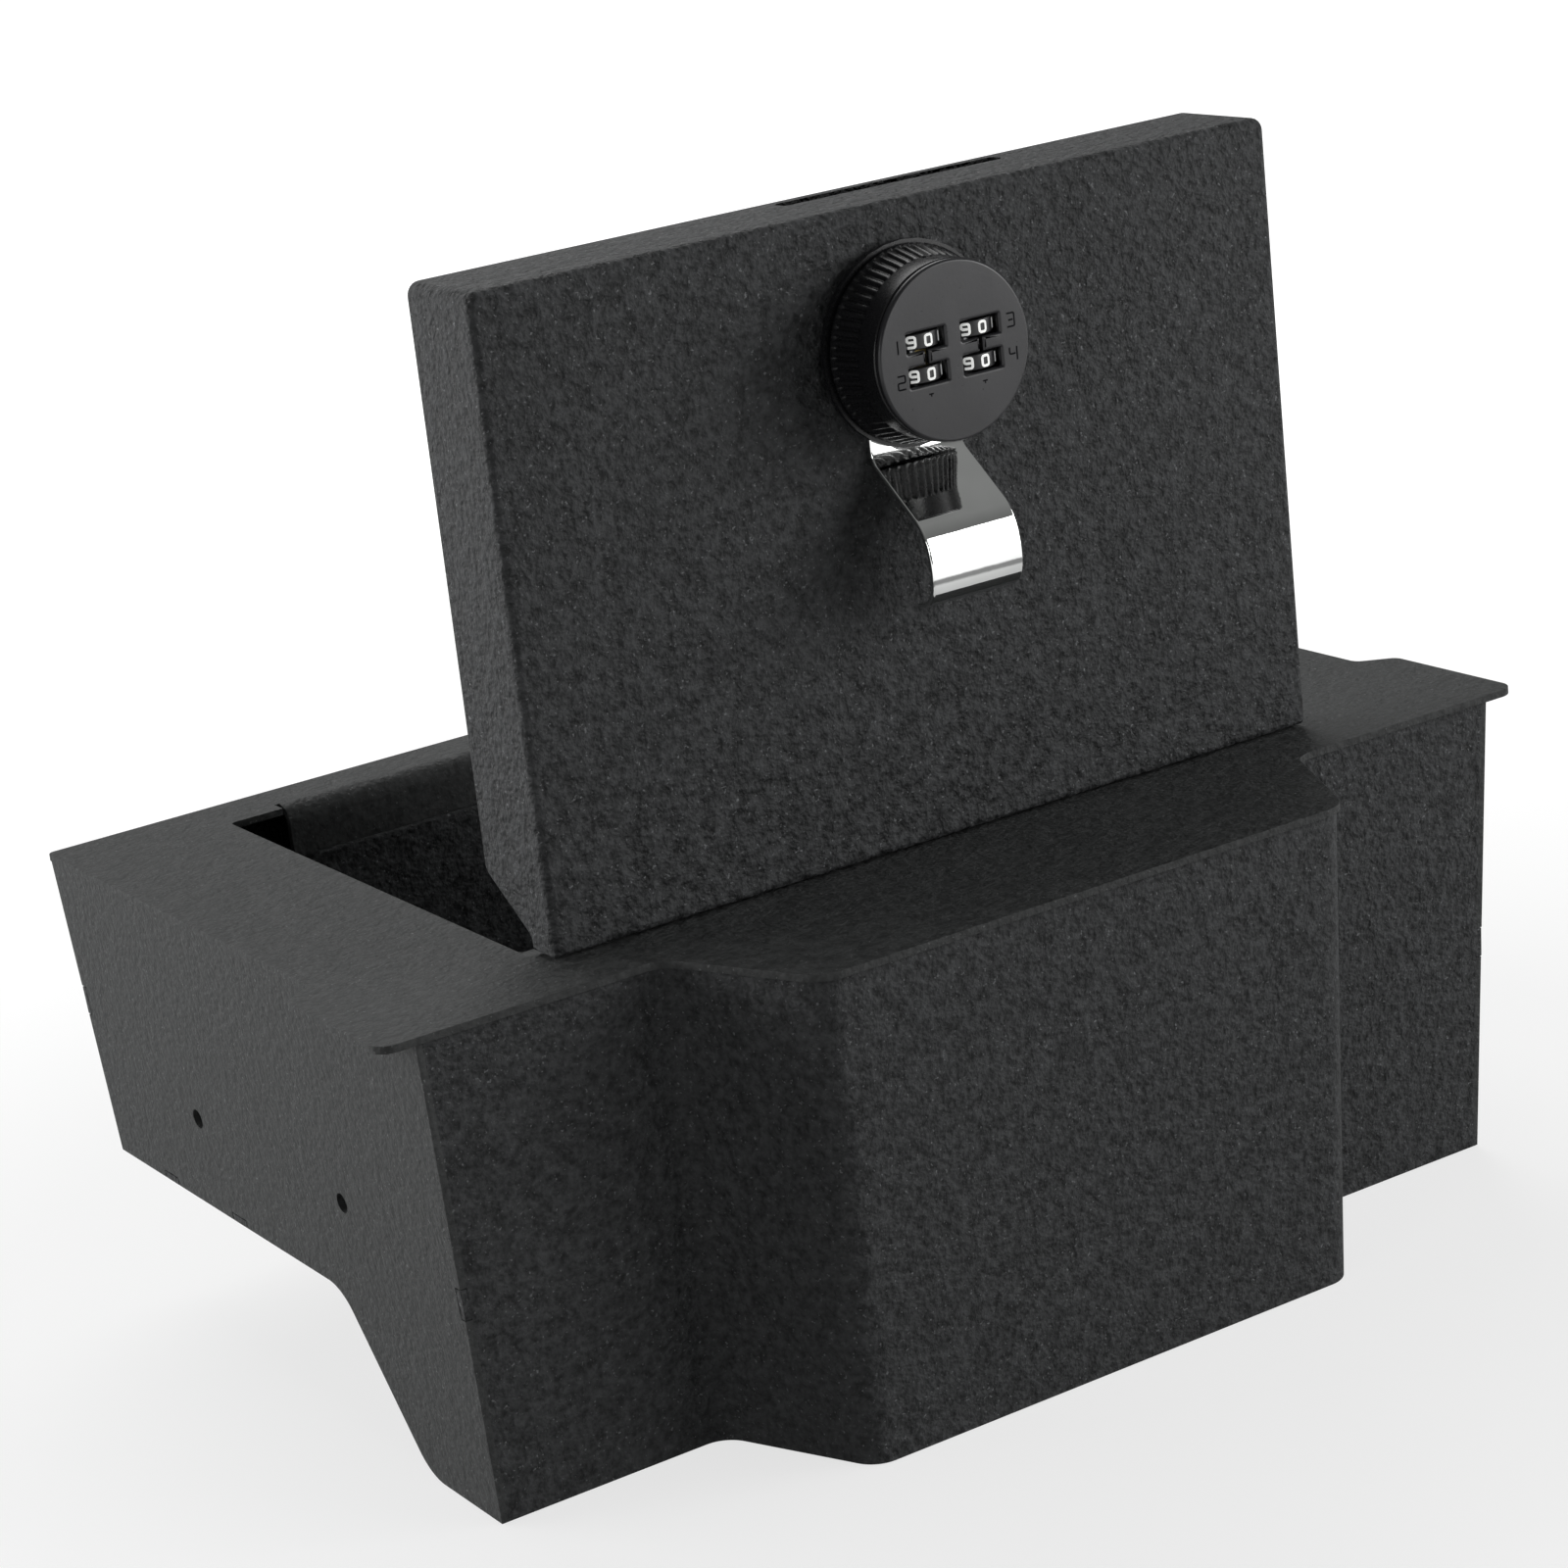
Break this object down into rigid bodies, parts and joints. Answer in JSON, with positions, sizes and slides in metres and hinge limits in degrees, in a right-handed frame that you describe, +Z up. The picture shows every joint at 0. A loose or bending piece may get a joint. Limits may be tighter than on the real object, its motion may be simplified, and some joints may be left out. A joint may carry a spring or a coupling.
{
  "type": "vehicle console safe",
  "caption": "Steel safe insert for a vehicle console: tapered stepped tub under a flanged deck, hinged pan lid with a rotary combination knob, chrome finger pull and cam.",
  "frame": {"origin": "middle of the deck's outline in X and Y, level with the underside of the deep floor", "axes": "+X along the length of the console, +Y from the bulged wall beside the hinge towards the far wall, +Z up out of the deck; the lid stands open at rest"},
  "size_m": [0.352, 0.253, 0.2941],
  "materials": {
    "coat_light": "textured",
    "coat_dark": "textured",
    "lid_coat": "textured",
    "zinc": "satin",
    "brass": "satin",
    "chrome": "polished",
    "knob_black": "satin",
    "wheel_black": "matte",
    "spring_steel": "satin"
  },
  "bodies": {
    "tub": {"deck_plate": "coat_light", "left_end_wall": "coat_light", "right_end_wall": "coat_light", "near_wall": "coat_dark", "far_wall": "coat_dark", "floor_pan": "coat_dark", "guard_plate": "coat_dark", "hinge_body_leaf": "zinc", "hinge_pin": "zinc"},
    "lid": {"lid_pan": "lid_coat", "hinge_lid_leaf": "zinc", "lock_backing_plate": "zinc", "lock_base": "knob_black", "barrel_washer": "zinc", "barrel_nut": "brass", "pull_handle": "chrome"},
    "knob": {"knob_body": "knob_black", "knob_face": "knob_black", "left_wheel_axle": "zinc", "right_wheel_axle": "zinc", "left_detent_spring": "spring_steel", "right_detent_spring": "spring_steel", "bolt_spring": "spring_steel", "spindle": "brass", "lock_cam": "zinc", "cam_washer": "zinc", "cam_nut": "zinc"},
    "bolt": {"lock_bolt": "brass"},
    "wheel_1": {"number_wheel_1": "wheel_black"},
    "wheel_2": {"number_wheel_2": "wheel_black"},
    "wheel_3": {"number_wheel_3": "wheel_black"},
    "wheel_4": {"number_wheel_4": "wheel_black"}
  },
  "joints": [
    {"name": "lid_hinge", "type": "hinge", "parent": "tub", "child": "lid", "pos_m": [0, -0.0543, 0.1339], "axis": [1, 0, 0], "range_deg": [-90, 0]},
    {"name": "knob_turn", "type": "hinge", "parent": "lid", "child": "knob", "pos_m": [0, -0.0678, 0.2593], "axis": [0, -1, 0], "range_deg": [0, 90]},
    {"name": "lock_bolt_slide", "type": "slide", "parent": "knob", "child": "bolt", "axis": [0, 1, 0], "range_m": [0, 0.0018]},
    {"name": "wheel_1_spin", "type": "hinge", "parent": "knob", "child": "wheel_1", "pos_m": [-0.008, -0.0822, 0.26345], "axis": [0, 0, 1], "continuous": true},
    {"name": "wheel_2_spin", "type": "hinge", "parent": "knob", "child": "wheel_2", "pos_m": [-0.008, -0.0822, 0.25515], "axis": [0, 0, 1], "continuous": true},
    {"name": "wheel_3_spin", "type": "hinge", "parent": "knob", "child": "wheel_3", "pos_m": [0.008, -0.0822, 0.26345], "axis": [0, 0, 1], "continuous": true},
    {"name": "wheel_4_spin", "type": "hinge", "parent": "knob", "child": "wheel_4", "pos_m": [0.008, -0.0822, 0.25515], "axis": [0, 0, 1], "continuous": true}
  ]
}
